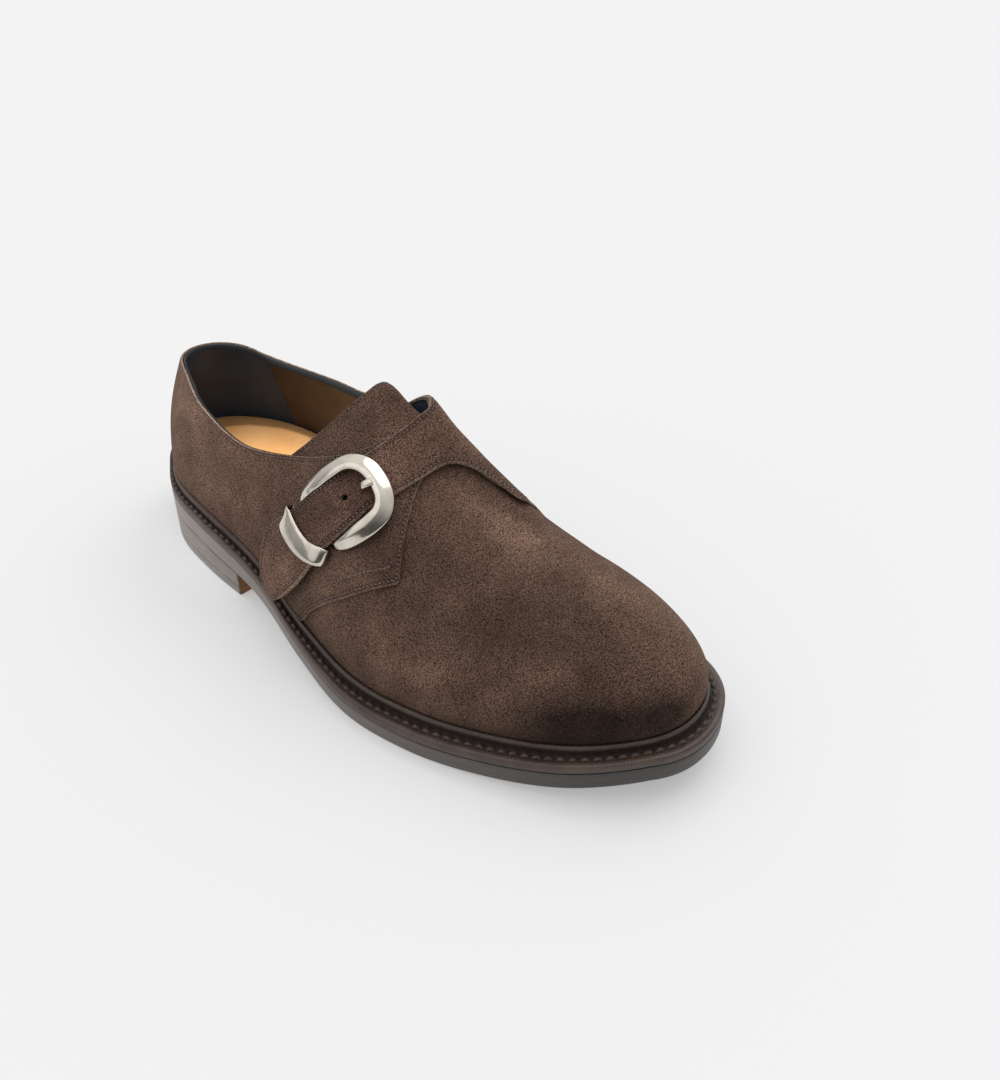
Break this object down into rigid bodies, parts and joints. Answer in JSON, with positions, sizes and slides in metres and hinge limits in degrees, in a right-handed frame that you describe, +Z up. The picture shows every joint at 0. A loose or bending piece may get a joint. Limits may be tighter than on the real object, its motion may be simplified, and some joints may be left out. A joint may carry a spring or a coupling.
{
  "type": "monk strap shoe",
  "caption": "Right monk strap shoe: hollow suede upper with overlaid quarters, a tongue, a strap fastened through a metal buckle and keeper, and a welted sole with a low stacked heel.",
  "frame": {"origin": "under the middle of the shoe's length and width, on the surface it stands on", "axes": "-Y towards the toe, +Y towards the heel, -X towards the outer side with the buckle, +X towards the inner side, +Z up"},
  "size_m": [0.1144, 0.2992, 0.0968],
  "materials": {
    "upper_suede": "suede with a brushed nap",
    "strap_suede": "coarser suede",
    "welt_leather": "waxed, with a low shine",
    "sole_edge": "painted and burnished edge",
    "heel_leather": "painted edge, bare tan leather at the breast",
    "heel_rubber": "matt",
    "insole_leather": "smooth tan leather",
    "buckle_metal": "polished warm nickel"
  },
  "bodies": {
    "root": {"outsole": "sole_edge", "heel_stack": "heel_leather", "heel_top_piece": "heel_rubber", "welt": "welt_leather", "insole": "insole_leather", "upper": "upper_suede", "tongue": "upper_suede", "strap": "strap_suede", "buckle_frame": "buckle_metal", "buckle_prong": "buckle_metal", "keeper_loop": "buckle_metal"}
  },
  "joints": []
}
